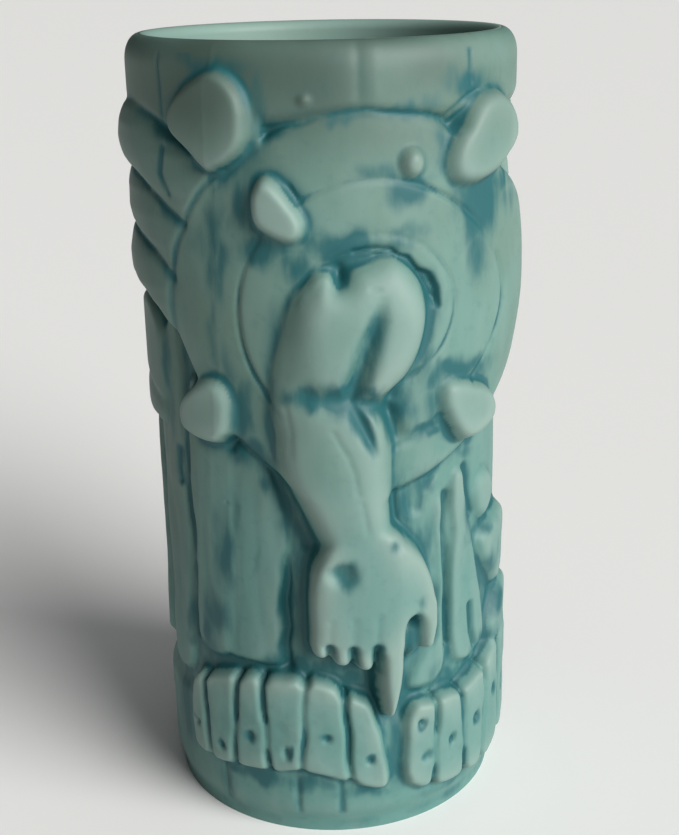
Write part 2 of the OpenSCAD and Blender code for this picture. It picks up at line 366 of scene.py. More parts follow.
def lay_disc(clay):
    s, z = clay.across(), clay.z
    rim = disc_distance(clay, DISC_AT, DISC_R)
    mid = disc_distance(clay, MID_AT, MID_R)
    hub = disc_distance(clay, HUB_AT, HUB_R)
    az = clay.turned()
    tall = smooth(z, 88, 120) * (1 - 0.3 * smooth(z, 124, 144))
    lean = 2.3 * smooth(az, 25, 80) * tall - 0.4 * smooth(-az, 10, 45)
    fall = (1.5 - 0.9 * smooth(-az, 20, 40)) * np.clip(1 + rim / DISC_R, 0, 1.1) ** 4
    dish = 0.22 * clay.noise(22, 18, 8) + 0.07 * clay.noise(6, 7, 9)
    face = DISC_TOP + 0.2 + lean - fall + dish
    clay.lay("disc_outer_ring", rim, face, 2.0)
    edge_line = 0.5 * bell(rim, 0.6) * smooth(-s, -20, 10)
    clay.carve(edge_line)
    clay.tint(edge_line)
    clay.lay("disc_middle_ring", mid, face + 0.3, 1.2)
    clay.lay("disc_hub", hub, face + 0.5, 1.2)
    for ring, deep in ((mid, 0.65), (hub, 0.4)):
        worn = 0.35 + 0.65 * smooth(clay.noise(13, 13, 33), -0.5, 0.3)
        line = deep * worn * bell(ring, 0.42) * (rim < -1)
        clay.carve(line)
        clay.tint(0.7 * line)
    ragged = 0.2 * clay.noise(1.6, 1.6, 31)
    sunken = clay.outline(SUNKEN) + ragged
    clay.r -= 0.8 * smooth(-sunken, -0.8, 1.8)
    gap = clay.outline(GAP, rounds=1) + ragged
    clay.r -= 0.8 * smooth(-gap, -0.3, 0.9)
    clay.groove(CRACK, 0.3, 1.1, wash=0.8)
    clay.groove([(9, 131), (12.8, 130.6), (15.8, 128.4), (18.6, 125.4), (21, 121.4)], 0.3, 0.9, wash=0.8)
    clay.groove([(13, 91.6), (17, 92.6), (21, 94.6)], 1.1, 0.5, wash=0.7)
    # The hollow below the disc's lower left edge
    hollow = [(-21, 92.4), (-17, 90.6), (-13.8, 87), (-11.4, 82), (-8.8, 76), (-6, 70)]
    clay.groove(hollow, 1.5, 0.7, wash=0.9)


# The arm is one mass of clay, and its pieces part along the grooves cut in it.
ARM = [
    (2.2, 126.8), (3, 127.6), (4.2, 128.8), (5.8, 129.6), (8.2, 130.2), (11.6, 131), (14.6, 130),
    (17, 127.4), (18.8, 124), (19.6, 120), (19.4, 116), (18.4, 112), (16.9, 108.6), (14.9, 105.8),
    (12.8, 104), (11.8, 102), (11.9, 99.5), (12.5, 96.5), (12.9, 93), (12.9, 88), (13, 82), (13.4, 77),
    (14.4, 72), (12, 64), (6, 61), (0, 62), (-2, 66), (-3.4, 70.4), (-5, 74.4), (-6.8, 78.4), (-9, 82.4),
    (-10.9, 86.8), (-11.3, 91), (-11.2, 95), (-11.6, 99), (-11.6, 103), (-11.1, 107), (-10.3, 112),
    (-8.7, 117), (-7.6, 121), (-6.4, 123.6), (-4.4, 126), (-2.2, 127.8), (0, 128.7), (1.3, 128.2),
]
# Valleys in the arm, as valley() takes them: the notch in its top, the one between the lobes, the pocket
# under them, and the two that run down from it
ARM_VALLEYS = (
    [(2.4, 128.6, 1.0, 0.8), (2.3, 126.6, 0.8, 0.9), (2.2, 124.8, 0.6, 0.3)],
    [(9.4, 122.6, 1.0, 0.3), (8.5, 119, 1.5, 1.3), (7.2, 115, 1.7, 2.1), (5.8, 110, 1.9, 2.6),
     (4.6, 106, 2.1, 2.9), (3.9, 103.4, 2.3, 2.9)],
    [(-5.2, 105, 1.4, 0.3), (-3, 104.4, 2.4, 1.2), (0, 103.6, 2.8, 1.7), (4, 103, 2.7, 2.4),
     (8, 101.8, 2.3, 2.6), (12, 102.4, 1.9, 1.2)],
    [(4.4, 102.4, 2.2, 2.5), (5.6, 98.8, 1.5, 1.9), (7, 95, 1.0, 1.3), (8.2, 91.8, 0.7, 0.5)],
    [(9, 101.4, 2.2, 2.6), (11.6, 98.6, 2.1, 2.1), (13.4, 94.4, 1.9, 1.4)],
)
# Lines that part the arm's two lobes from each other and from the forearm
ABOVE_LOBES = [(1.2, 134), (1.7, 126.4), (3, 125), (6, 124.6), (8.8, 123.4)]
BETWEEN_LOBES = [(8.8, 123.4), (7.9, 119), (6.6, 114), (5.4, 109.6), (4.4, 106.2), (3.9, 103.2)]
UNDER_LEFT = [(3.9, 103.2), (1, 103.2), (-2, 103.9), (-4.8, 105.6)]
UNDER_RIGHT = [(3.9, 103.2), (6.8, 102), (9.8, 101.6), (13.4, 102.6)]
HAND = [
    (-3.2, 70.4), (-5, 66), (-5.6, 60), (-5.5, 54), (-4.8, 50), (-2.5, 48.4), (1.5, 47.4), (6, 46.6),
    (11, 45.6), (14.4, 47), (15, 51), (15.9, 53.2), (17.2, 51.6), (17.9, 48.4), (18.6, 45.8),
    (19.5, 44.2), (20.6, 45.4), (21.6, 48), (22.5, 51.6), (22.8, 55), (22.4, 59), (21.2, 63.4),
    (19.4, 67.4), (16.8, 70.6), (13.4, 74.6), (8, 76), (2, 75),
]
# The three bent fingers: the middle of each, where its tip is centred, and its radius
BENT = ((-2.6, 48.2, 2.9), (1.8, 46.5, 3.0), (6.3, 45, 3.1))
# The middle of the thumb, and the index finger's outline
THUMB = [(19.9, 46.6), (20.6, 51), (20.2, 56)]
INDEX = [
    (8.8, 56), (8.6, 48), (8.5, 43), (8.8, 38.6), (9.4, 34.6), (10.1, 31.2), (10.9, 29.6), (12.2, 29.6),
    (13, 31.2), (13.7, 34.4), (14.3, 38.6), (14.6, 43), (14.6, 48), (14.4, 56),
]
# The gaps between the fingertips
SLOTS = ([(-0.5, 46.6), (-0.7, 49.6)], [(3.9, 45), (3.7, 49)], [(8.5, 42.6), (8.3, 48.8)])
# The heights where the fingers and the thumb join the hand, and the arcs where the fingers part
FINGER_ROOT, THUMB_ROOT = 50.5, 66
FINGERS = ("little_finger", "ring_finger", "middle_finger", "index_finger")
FINGER_SIDES = (-FAR, -0.7, 3.6, 8.3, 15.9)


def zone(*lines):
    """An outline made of several lines put end to end."""
    return [point for line in lines for point in line]


def lay_arm(clay):
    s, z = clay.across(), clay.z
    lumps = 0.22 * clay.noise(9, 12, 41) + 0.06 * clay.noise(3, 4, 42)
    mass = clay.outline(ARM)
    # The forearm is round across, and the lobes above it fall away to the left.
    bow = 0.022 * (s - 2.5 + 0.17 * (z - 85)) ** 2 * smooth(-z, -103, -94)
    bow += 2.2 * smooth(-s, 0, 9) * smooth(z, 92, 106)
    crown = ARM_TOP - bow - 1.6 * smooth(z, 118, 131) - 1.3 * smooth(-z, -82, -68) + lumps
    clay.lay("forearm", mass, crown, 6.5, power=2.6)
    # The bump left of the notch
    clay.lay(None, clay.oval((-0.6, 125), (2.6, 3.3)), np.maximum(clay.r, 43.6), 1.8)
    # The zones of the lobes go out past the arm's own outline.
    left = zone(ABOVE_LOBES, BETWEEN_LOBES, UNDER_LEFT, [(-14, 107), (-14, 134)])
    right = zone(ABOVE_LOBES, BETWEEN_LOBES, UNDER_RIGHT, [(24, 103), (24, 134)])
    clay.claim("arm_left_lobe", overlap(mass, clay.outline(left, rounds=0)))
    clay.claim("arm_right_lobe", overlap(mass, clay.outline(right, rounds=0)))
    for line in ARM_VALLEYS:
        clay.valley(line)
    clay.stain((2.4, 127), (1.3, 2.4), 1.1)
    clay.stain((0.8, 103.8), (7.2, 2.6), 1.3)
    for crease in (
        [(0.8, 97.4), (1.7, 95.2), (3.2, 92.2)],
        [(3.4, 91.6), (4.4, 88), (4.9, 84)],
        [(-7.6, 102), (-6.7, 97), (-6.8, 92)],
        [(5.6, 82), (6.8, 74), (7.4, 66)],
        [(-9.2, 92), (-8.6, 88), (-6.6, 84)],
        [(-7.2, 85.5), (-6.2, 83), (-5, 81)],
        [(7.6, 125), (8.9, 125)],
    ):
        clay.groove(crease, 0.45, 0.25)

    hand = clay.outline(HAND, rounds=1)
    for middle, tip, radius in BENT:
        hand = np.minimum(hand, line_distance(s, z, [(middle, 54), (middle, tip)]) - radius)
    # The clay behind the thumb and the bent fingers stands out from the wall.
    clay.lay(None, clay.oval((17, 48), (3.2, 6)), 41.4, 2.6)
    clay.lay(None, clay.oval((2.6, 50), (7.4, 5.4)), 41.8, 2.0)
    slope = 0.9 * smooth(-s, 0, 5) + 1.5 * smooth(s, 12, 19) + 0.7 * smooth(-z, -56, -46)
    clay.lay("hand", hand, HAND_TOP - slope + lumps, 2.8, power=2.3)
    thumb = line_distance(s, z, THUMB) - 1.9
    clay.lay(None, thumb, HAND_TOP - 1.7 + lumps, 1.7)
    index = clay.outline(INDEX) - 0.4
    clay.lay(None, index, HAND_TOP - 0.1 - 1.2 * smooth(-z, -44, -30) + lumps, 2.5)
    hand = np.minimum.reduce([hand, thumb, index])
    fingers = overlap(hand, z - FINGER_ROOT)
    for name, low, high in zip(FINGERS, FINGER_SIDES, FINGER_SIDES[1:]):
        clay.claim(name, overlap(fingers, low - s, s - high))
    thumb_side = FINGER_SIDES[-1] + 2.2 * smooth(z, 50, 66) - s
    clay.claim("thumb", overlap(hand, thumb_side, z - THUMB_ROOT))
    for slot in SLOTS:
        clay.groove(slot, 0.7, 1.9, wash=0.9)
        clay.groove([slot[1], (slot[1][0] + 0.2, 52), (slot[1][0] + 0.4, 56)], 0.8, 0.22)
    clay.stain((16.8, 49), (1.8, 4), 0.95)
    clay.groove([(16.2, 51), (17.6, 58)], 0.8, 0.35)
    clay.dent((1.8, 66.4), (2.4, 2.4), 1.3)
    clay.dent((12.4, 71.5), (1.3, 1.5), 0.5)
    clay.stain((1.8, 66.4), (2.7, 2.8), 1.0)
    clay.stain((17.6, 56.4), (1.2, 1.6), 0.7)
    clay.stain((12.4, 71.5), (1.4, 1.6), 0.45)


# Each stud's outline, how far out its top is and the width of its rounded edge
STUDS = {
    "stud_upper_left": ([
        (-31.4, 155), (-30.8, 158.6), (-27, 162), (-22.4, 164.6), (-19.6, 165.3), (-16.9, 164.2),
        (-14.2, 161), (-13.3, 157.5), (-13.6, 152.6), (-15, 149.8), (-18, 147.4), (-21.4, 145.6),
        (-23.6, 147), (-27, 150), (-30.4, 152.6),
    ], 43.5, 1.7),
    "stud_upper_right": ([
        (23.8, 146.5), (24.4, 149.5), (26.4, 153), (29.5, 156.8), (33, 159.4), (37, 160), (41, 158.6),
        (44.6, 156), (46.6, 152.6), (46.4, 149), (43.6, 146.2), (40, 144.6), (36, 143), (32, 142),
        (27.6, 142.1), (24.8, 143.4),
    ], 43.9, 3.0),
    "stud_inner": ([
        (-13.8, 139.6), (-13.7, 142.6), (-12.4, 145.3), (-10.4, 146.2), (-8.3, 145), (-6.2, 142.4),
        (-4.4, 139.8), (-3.3, 137.4), (-3.5, 135.2), (-5, 133.6), (-6.8, 133.3), (-9.4, 134.2),
        (-12, 135.6), (-13.4, 137.4),
    ], 44.0, 1.9),
    "stud_lower_left": ([
        (-33.6, 96.6), (-33, 99.4), (-30.4, 102.4), (-26.4, 104.8), (-23, 105.5), (-20.3, 104),
        (-19, 100.4), (-19.1, 96.2), (-20.2, 92.9), (-22.3, 91), (-25.6, 90.6), (-30, 91.4), (-32.8, 93),
    ], 43.0, 2.4),
    "stud_lower_right": ([
        (22.3, 100.5), (22.8, 103), (24.8, 104.2), (27.6, 103.8), (31.4, 102.6), (35, 101), (38, 98.6),
        (39.4, 95.4), (38.4, 92.2), (35.6, 90.4), (32, 89.4), (28.8, 89.4), (26.2, 91.4), (24.2, 94.6),
        (22.8, 97.6),
    ], 43.6, 2.6),
}


def lay_studs(clay):
    for i, (name, (points, top, edge)) in enumerate(STUDS.items()):
        crown = top + 0.2 * clay.noise(7, 7, 50 + i)
        clay.lay(name, clay.outline(points), crown, edge, power=2.3)
    clay.lay("disc_bead", clay.oval((16.7, 147.6), (2.4, 2.9)), 42.9, 1.6)
    clay.lay("collar_bead", clay.oval((-3.3, 159.6), (1.2, 1.1)), 41.5, 1.1)


# Outlines of the bark slabs on the front
BARK = {
    "bark_1": [
        (-21.5, 92.5), (-17, 89.6), (-13.4, 87), (-11.4, 82), (-9.4, 76), (-8.8, 70), (-10.4, 66),
        (-10.8, 60), (-11.7, 52), (-10.8, 46), (-11, 41.4), (-16, 41), (-23.2, 41.2), (-23.6, 48),
        (-21.8, 54), (-20.8, 62), (-20.6, 70), (-21.4, 80),
    ],
    "bark_2": [
        (-22, 96), (-22, 88), (-21.9, 80), (-21.4, 70), (-21.8, 62), (-23.2, 54), (-24.2, 47),
        (-24.4, 41.4), (-29, 39.6), (-35, 39.6), (-36.4, 46), (-36.2, 54), (-35, 62), (-34.4, 68),
        (-35.6, 76), (-35.6, 84), (-34.8, 96), (-34, 104), (-28, 104),
    ],
    "bark_3": [
        (-36.6, 116), (-36, 104), (-35.9, 94), (-36.6, 82), (-36.6, 74), (-36, 66), (-37.4, 56),
        (-37.6, 46), (-38.4, 33), (-44, 30.5), (-49, 32), (-49.6, 44), (-48.6, 56), (-49.6, 68),
        (-49.2, 80), (-48, 92), (-46, 104), (-41, 117),
    ],
    "bark_13": [
        (24.4, 78), (26.4, 80), (27.4, 73), (26.8, 65), (27.6, 56), (27.4, 47), (28.2, 39), (27, 33.5),
        (20, 32.6), (16.6, 34.2), (18, 38.4), (20.8, 42.6), (23.9, 47), (25, 55), (24.6, 63), (23.8, 71),
    ],
    "bark_12": [
        (28.7, 79), (30.2, 81.6), (33.2, 82), (34.4, 76), (36.4, 69.4), (38, 63), (39.8, 57), (42.2, 50),
        (43.8, 42), (43, 36.8), (36, 34.8), (30.6, 35.6), (29, 42), (28.5, 50), (28.5, 60), (29.7, 66),
        (29.2, 72),
    ],
}
# Bark slabs round the sides and back: azimuth, half width, bottom, top and lean of the top
BARK_ROUND = {
    "bark_4": (-93, 7.5, 31, 92, -1), "bark_5": (-116, 7.9, 32, 118, 1), "bark_6": (-139, 7.7, 31, 118, -1.5),
    "bark_7": (-162, 7.6, 33, 118, 1), "bark_8": (175, 7.7, 32, 118, 1), "bark_9": (152, 7.7, 31, 118, -1),
    "bark_10": (129, 7.7, 33, 118, 1.5), "bark_11": (107, 6.8, 32, 106, -1),
}
# Slits in the bark: azimuth, bottom, top and bend
SLITS = (
    (-112, 48, 96, 1), (-120, 60, 110, -1), (-136, 38, 80, 1), (-143, 66, 108, 1), (-160, 44, 92, -1),
    (178, 50, 104, 1), (171, 36, 74, -1), (154, 58, 110, 1), (148, 40, 82, 1), (131, 50, 100, -1),
    (109, 44, 84, 1),
)
# The fissure left of the hand, as valley() takes it
MAIN_FISSURE = [
    (-9.8, 67, 0.5, 0.2), (-9.9, 61, 0.9, 0.9), (-10.8, 56, 1.2, 1.4), (-10.1, 50, 1.0, 1.2),
    (-11.2, 46, 1.3, 1.4), (-10.6, 41, 1.3, 1.5),
]


def lay_bark(clay):
    s, z = clay.across(), clay.z
    grain = 0.16 * clay.noise(2.4, 18, 61) + 0.07 * clay.noise(1.1, 9, 62)
    lumps = 0.3 * clay.noise(9, 16, 63) + 0.12 * clay.noise(4, 6, 65)
    ragged = 0.5 * clay.noise(4, 6, 64) + 0.25 * clay.noise(1.5, 3, 66)
    front = np.abs(s) < 50
    crown = BARK_TOP + lumps + grain
    for name, points in BARK.items():
        edge = 2.4 if name == "bark_13" else 1.4
        clay.lay(name, clay.outline(points) + 0.7 * ragged, crown, edge)
    # The two slabs left of the hand nearly close up.
    seam = bell(s + 21.9 - 0.06 * (z - 64), 2.0)
    seam *= smooth(z, 41, 45) * (1 - smooth(z, 82, 90)) * front
    filled = BODY_R + (crown - BODY_R) * (1 - 0.14 * seam) * (seam > 0.02)
    clay.r = np.maximum(clay.r, filled)
    for name, (az, half, low, high, lean) in BARK_ROUND.items():
        left = [(-half, low + 3), (-half * 0.96, 62), (-half + lean, high - 5), (lean, high)]
        right = [(half + lean, high - 6), (half * 0.98, 60), (half, low + 2), (0, low)]
        clay.lay(name, clay.outline(left + right, az) + ragged, crown, 1.5)
    for az, low, high, bend in SLITS:
        clay.groove([(0, low), (0.9 * bend, (low + high) / 2), (-0.4 * bend, high)], 0.6, 0.8, az, wash=0.6)
    for slit, width, depth in (
        ([(-38.4, 86), (-38.8, 82), (-38.4, 79)], 0.8, 0.9),
        ([(-35.4, 60), (-36.4, 50), (-36.6, 42)], 0.5, 0.7),
        ([(28, 77), (27.4, 70), (28.2, 64), (28, 52), (28.2, 42)], 0.9, 0.9),
        ([(36, 48.5), (36.6, 42), (38.2, 37.6)], 0.9, 1.2),
        ([(34.4, 81), (35.6, 75), (37.4, 70)], 1.1, 0.9),
    ):
        clay.groove(slit, width, depth, wash=0.85)
    clay.valley(MAIN_FISSURE)
    # Blotchy clay between the arm and the slabs on the right
    murk = smooth(s, 13, 15) * (1 - smooth(s, 24, 27)) * front
    murk *= smooth(z, 40, 46) * (1 - smooth(z, 80, 86))
    mottle = clay.noise(3.2, 8, 67) + 0.5 * clay.noise(1.6, 4, 68)
    blotch = smooth(mottle, -0.1, 0.5)
    clay.r += 0.8 * murk * blotch
    clay.tint(0.8 * murk * (1 - blotch))
    for pit in ((-23.5, 77.5), (-23.5, 98.5)):
        clay.dent(pit, (0.5, 0.5), 0.4)


# Each leaf's outline and how far out its top is
LEAVES = {
    "leaf_1": ([
        (40, 78), (45, 79), (49.5, 74), (48, 68.5), (42.5, 66.2), (38.6, 69), (38, 74),
    ], 39.0),
    "leaf_2": ([
        (39, 63.5), (45, 66.5), (54, 68), (62, 64), (63, 55), (57, 47), (50, 47), (44, 53), (39.5, 59),
    ], 39.9),
    "leaf_3": ([
        (44, 38), (48, 45), (55, 49), (63, 48), (67, 40), (66, 30), (58, 26), (49, 28), (44.5, 33),
    ], 40.7),
}


def lay_leaves(clay):
    for i, (name, (points, top)) in enumerate(LEAVES.items()):
        clay.lay(name, clay.outline(points), top + 0.25 * clay.noise(6, 6, 71 + i), 3.2)


DRAPE = [
    (-41.5, 113), (-41.3, 104), (-41.6, 96), (-43, 90.5), (-50, 89), (-60, 90), (-68, 94), (-72, 103),
    (-69, 112), (-60, 118), (-48, 118.5),
]


def lay_drape(clay):
    s, z = clay.across(), clay.z
    dip = 0.5 * bell(z - 98.5 + 0.2 * (s + 57), 1.4)
    clay.lay("side_drape", clay.outline(DRAPE), 40.0 - dip, 3.0)


# Outlines of the two rows of teeth, and the joints between the teeth of each
TEETH = {
    "left": [
        (-37.4, 22), (-37, 30), (-35.8, 34.8), (-30, 37), (-21.5, 39.2), (-14, 40), (-6, 40.2), (0, 38.8),
        (4.5, 35.6), (8.2, 34), (9.6, 28), (11.4, 20), (12.3, 13), (10.6, 11.2), (3, 13.4), (-3, 15.6),
        (-8, 16.4), (-15, 15.2), (-22, 14.8), (-31, 14), (-36.4, 15.4),
    ],
    "right": [
        (14.9, 12), (15.4, 22), (15.6, 29), (18, 31.8), (22, 31.4), (27, 31.4), (31, 30.8), (37, 31.8),
        (43, 34.6), (50, 37.4), (56, 37.6), (57.2, 28), (56.4, 16), (54, 10.4), (46, 8.4), (37, 7),
        (28, 7.4), (20, 8.2),
    ],
}
# Each joint is where it crosses mid height and its lean. The joints of a row go down to JOINT_LOW.
JOINTS = {
    "left": [(-30.8, -0.8), (-22.6, 0.8), (-15, -0.6), (-6.8, 0.6), (2.8, -0.6)],
    "right": [(23.4, 0.5), (31.4, -0.7), (39.8, 0.7), (48, -0.5)],
}
JOINT_LOW = {"left": 10, "right": 5}
# Small pits in the teeth: arc, height, half width and half height
PITS = (
    (-34, 22.4, 0.8, 0.9), (-26.6, 19.4, 0.9, 1.1), (-19, 24.4, 1.1, 1.3), (-10.6, 21.4, 0.8, 1.6),
    (-1.8, 25.6, 1.0, 1.0), (7.4, 19.4, 0.9, 1.0), (19.2, 26.2, 0.9, 1.0), (20.8, 17.4, 1.3, 1.5),
    (27.6, 19, 0.9, 1.4), (36, 21, 1.0, 1.2), (44.4, 24, 0.9, 1.8), (51.6, 22, 0.9, 1.4),
)


def lay_teeth(clay):
    s, z = clay.across(), clay.z
    rough = 0.2 * clay.noise(4, 5, 81) + 0.08 * clay.noise(1.6, 1.8, 82)
    bite = 0.5 * clay.noise(4.5, 4.5, 83)
    for side, points in TEETH.items():
        wander = 0.35 * clay.noise(60, 6, 87)
        lines = [x + lean * (z - 25) / 12 + wander for x, lean in JOINTS[side]]
        panel = clay.outline(points, rounds=1) + bite * 0.6
        # The tops and bottoms of the teeth are round where a joint comes out.
        ends = smooth(z, 28, 36) + 1 - smooth(z, 12, 19)
        for line in lines:
            panel = panel + 1.5 * bell(s - line, 1.1) * ends
        clay.lay(None, panel, TOOTH_TOP + rough, 1.6, power=2.3)
        # The first and the last tooth go out to the panel's ends.
        beyond = np.full(z.shape, FAR * 9)
        lines = [-beyond] + lines + [beyond]
        for i, (left, right) in enumerate(zip(lines, lines[1:]), 1):
            clay.claim(f"tooth_{side}_{i}", overlap(panel, left - s, s - right))
        low = JOINT_LOW[side]
        is_open = smooth(z, low, low + 2) * (1 - smooth(z, 40, 42))
        worn = 0.35 + 0.65 * smooth(clay.noise(9, 7, 89), -0.5, 0.2)
        for line in lines[1:-1]:
            cut = bell(s - line, 0.65) * (panel < 0.5) * is_open * worn
            clay.carve(1.7 * cut)
            clay.tint(0.7 * cut)
    for x, up, half, tall in PITS:
        clay.dent((x, up), (half, tall), 0.9)
        clay.stain((x, up), (half * 1.1, tall * 1.1), 0.75)
    for x, low in ((-28, 4), (-9, 5.5), (1, 6)):
        clay.groove([(x, 13.5), (x + 0.3, low)], 0.7, 0.4, wash=0.6)


# Patches of wash: arc, height, half width, half height and how deep the colour is
STAINS = (
    (-12.4, 157, 1.8, 6, 0.75), (-22, 165.6, 7, 2, 0.6), (-19, 148.6, 6, 2.2, 0.6),
    (-9, 154.6, 6, 2, 0.6), (2, 157, 9, 1.6, 0.5), (15, 157.6, 8, 1.5, 0.45), (21, 158, 4, 2, 0.45),
    (30, 161.4, 6, 2.4, 0.8), (22.8, 150.4, 1.6, 4, 0.7), (33, 138.6, 8, 6.5, 0.9), (44, 138, 7, 4, 0.6),
    (40, 141.6, 9, 2.4, 0.8), (33, 129, 3.4, 8, 0.55), (-14.8, 141, 3, 6, 0.8),
    (-10.5, 132.4, 5.5, 3, 0.95), (-4, 134, 3, 3, 0.6), (-21.6, 129, 2.6, 9, 0.85), (-26, 131, 3, 3, 0.5),
    (-24, 118, 1.5, 10, 0.45), (-20.4, 106, 2, 8, 0.4), (11, 145.6, 3.6, 2, 0.7),
    (15.6, 142.8, 4, 2.6, 0.8), (5, 132.8, 9, 2.6, 0.85), (-5.6, 128.4, 3, 3.4, 0.8),
    (12, 135, 7, 1.6, 0.4), (19.6, 120, 3, 5, 0.55), (17.8, 110, 2.4, 6, 0.6), (14.8, 99, 3.2, 8, 0.95),
    (14, 93, 2, 7, 0.85), (13.6, 82, 1.6, 8, 0.7), (19, 93.6, 5.5, 1.5, 0.9), (21, 99, 3, 5, 0.5),
    (27, 105.6, 6, 1.8, 0.85), (35, 104, 5, 1.8, 0.6), (22, 105, 3, 2.4, 0.6), (30, 84.8, 6, 1.6, 0.7),
    (-18, 98, 2.4, 6, 0.85), (-16.4, 89.6, 5, 3, 0.85), (-11, 100, 1.2, 9, 0.55),
    (-13, 84.6, 3, 3.6, 0.8), (-8.4, 75, 2, 8, 0.85), (-6.6, 63, 1.4, 7, 0.7), (-10.6, 57, 1.3, 10, 0.8),
    (-27, 50.6, 4.4, 5, 0.8), (-24.4, 66, 2.2, 9, 0.7), (-21.6, 75, 1.4, 5, 0.55), (-31, 45, 2.4, 5, 0.6),
    (-17, 66, 1, 6, 0.35), (-33, 40.6, 6, 2, 0.8), (-20, 40.6, 10, 1.8, 0.8), (-8, 41.8, 9, 2.2, 0.85),
    (1, 42, 5, 3, 0.95), (5, 38, 3.4, 3, 0.9), (13.4, 22, 1.8, 12, 0.85), (20, 10, 9, 2.4, 0.5),
    (-14, 12.8, 15, 2.2, 0.95), (6, 10.6, 8, 1.6, 0.7), (-9, 8, 1.4, 4, 0.7), (-28, 8, 2, 4, 0.6),
    (32, 6.2, 12, 1.6, 0.5), (-43, 20, 5, 9, 0.75), (-38, 48, 2, 6, 0.6), (15, 51.6, 1.4, 3, 0.9),
    (19, 46, 3.4, 4, 0.8), (14, 42, 1.6, 8, 0.6), (19.6, 60, 2, 10, 0.55), (17.4, 77, 3.4, 6, 0.9),
    (22.4, 66, 2.2, 8, 0.7), (20, 80.6, 5, 2, 0.75), (22.6, 52, 1.8, 8, 0.6), (30, 34, 11, 1.7, 0.75),
    (42, 37, 6, 2.6, 0.75), (36, 73, 2.2, 7, 0.85), (41, 64.8, 6, 1.8, 0.8), (46, 56, 4, 3, 0.6),
    (50, 43, 5, 4, 0.6), (23.4, 36, 2.4, 3, 0.5), (-5, 166, 9, 2, 0.12), (-40.5, 101, 1.2, 11, 0.7),
    (-3, 160, 5, 5, 0.2), (8, 161, 3, 6, 0.25),
)


def add_stains(clay):
    for x, up, half, tall, amount in STAINS:
        clay.stain((x, up), (half, tall), amount)


def lay_collar_marks(clay):
    s, z = clay.across(), clay.z
    for crack in ([(-34.6, 155), (-34.8, 161), (-35.4, 167)], [(31, 161), (30.6, 164), (30.8, 167)]):
        clay.groove(crack, 0.35, 0.5, wash=0.5)
    for crack in (
        [(-11.4, 154.6), (-9, 154.8), (-5, 154.9), (-1, 156.4), (4, 157.2), (8, 157.8), (11, 157.2)],
        [(11, 157.2), (16, 156.6), (20, 156.3), (24.4, 155.2), (26.2, 152.6)],
        [(24.4, 155.2), (26.4, 157), (29, 158.6), (32.6, 159.8)],
        [(-33, 141), (-35, 145), (-34.2, 150)],
        [(-6.6, 144), (-5.8, 143), (-5, 141.6)],
    ):
        clay.groove(crack, 0.32, 0.55, wash=0.7)
    tall = smooth(z, 156, 161)
    clay.r += tall * (0.22 * bell(s - 9.6, 1.2) - 0.3 * bell(s - 6.6, 0.7))
    clay.groove([(0, 167), (0, 171)], 0.8, 0.5, az=-168)
    # The fine raised line that the mould's joint leaves
    seam = bell(s + 22.5 - 0.02 * (z - 100), 0.3)
    clay.cut -= 0.09 * seam * smooth(z, 48, 60)


def sculpt(az, z, plain):
    clay = Clay(az, z, plain)
    away = 1 - smooth(z, MUG_H - LIP_ROUND, MUG_H - 2)
    undulate = 0.25 * noise(az, z, 16, 20, 11) + 0.1 * noise(az, z, 5, 8, 12)
    clay.r += undulate * away * smooth(z, 2, 8)
    lay_bark(clay)
    lay_leaves(clay)
    lay_straps(clay)
    lay_drape(clay)
    # The collar goes over the tops of the straps.
    collar_edge = np.where(clay.across() < -12, strap_line(clay, "top") - z, COLLAR_LOW - z)
    crown = np.maximum(plain, COLLAR_R * (z < MUG_H - LIP_ROUND))
    clay.lay("rim_collar", collar_edge, crown, 1.6)
    clay.lay("foot_band", z - FOOT_TOP, clay.r, 1.0)
    lay_disc(clay)
    add_stains(clay)
    lay_arm(clay)
    lay_studs(clay)
    lay_teeth(clay)
    lay_collar_marks(clay)
    clay.r = blur(clay.r, 1.25) - blur(clay.cut, 0.7)
    return clay


# ---- the grid


def spread(low, high, step):
    return np.linspace(low, high, max(2, round((high - low) / step)), endpoint=False)


def quarter(centre, radius, start, stop, steps):
    a = np.radians(np.linspace(start, stop, steps, endpoint=False))
    return np.stack([centre[0] + radius * np.cos(a), centre[1] + radius * np.sin(a)], 1)


front = spread(FRONT_FROM, FRONT_TO, math.degrees(FINE / ARC_R))
back = spread(FRONT_TO, FRONT_FROM + 360, math.degrees(COARSE / ARC_R))
columns = np.concatenate([front, back])
corner = quarter((BODY_R - CORNER_R, CORNER_R), CORNER_R, -90, 0, 7)
side_z = spread(CORNER_R, MUG_H - LIP_ROUND, FINE)
side = np.stack([plain_profile(side_z), side_z], 1)
lip = quarter((BODY_R, MUG_H - LIP_ROUND), LIP_R, 0, 90, 15)
lip[:, 1] = MUG_H - LIP_ROUND + (lip[:, 1] - MUG_H + LIP_ROUND) * LIP_ROUND / LIP_R
crest = np.array([[BODY_R, MUG_H]])
rows = np.concatenate([corner, side, lip, crest])
# A column of the grid for each azimuth, and a row for each height of the plain profile
AZ, Z = np.meshgrid(columns, rows[:, 1])
PLAIN = np.repeat(rows[:, :1], len(columns), axis=1)


def under_lip(z):
    """From 0 to 1 on the way up to the lip, where the skin goes out to the body's radius."""
    return smooth(z, SKIN_BEND, MUG_H - LIP_R)


def spacing(field, axis):
    """Steps between the grid's points, without the jump where the grid closes."""
    gap = np.gradient(field, axis=axis)
    if axis == 1:
        gap[:, 0], gap[:, -1] = gap[:, 1], gap[:, -2]
    return gap


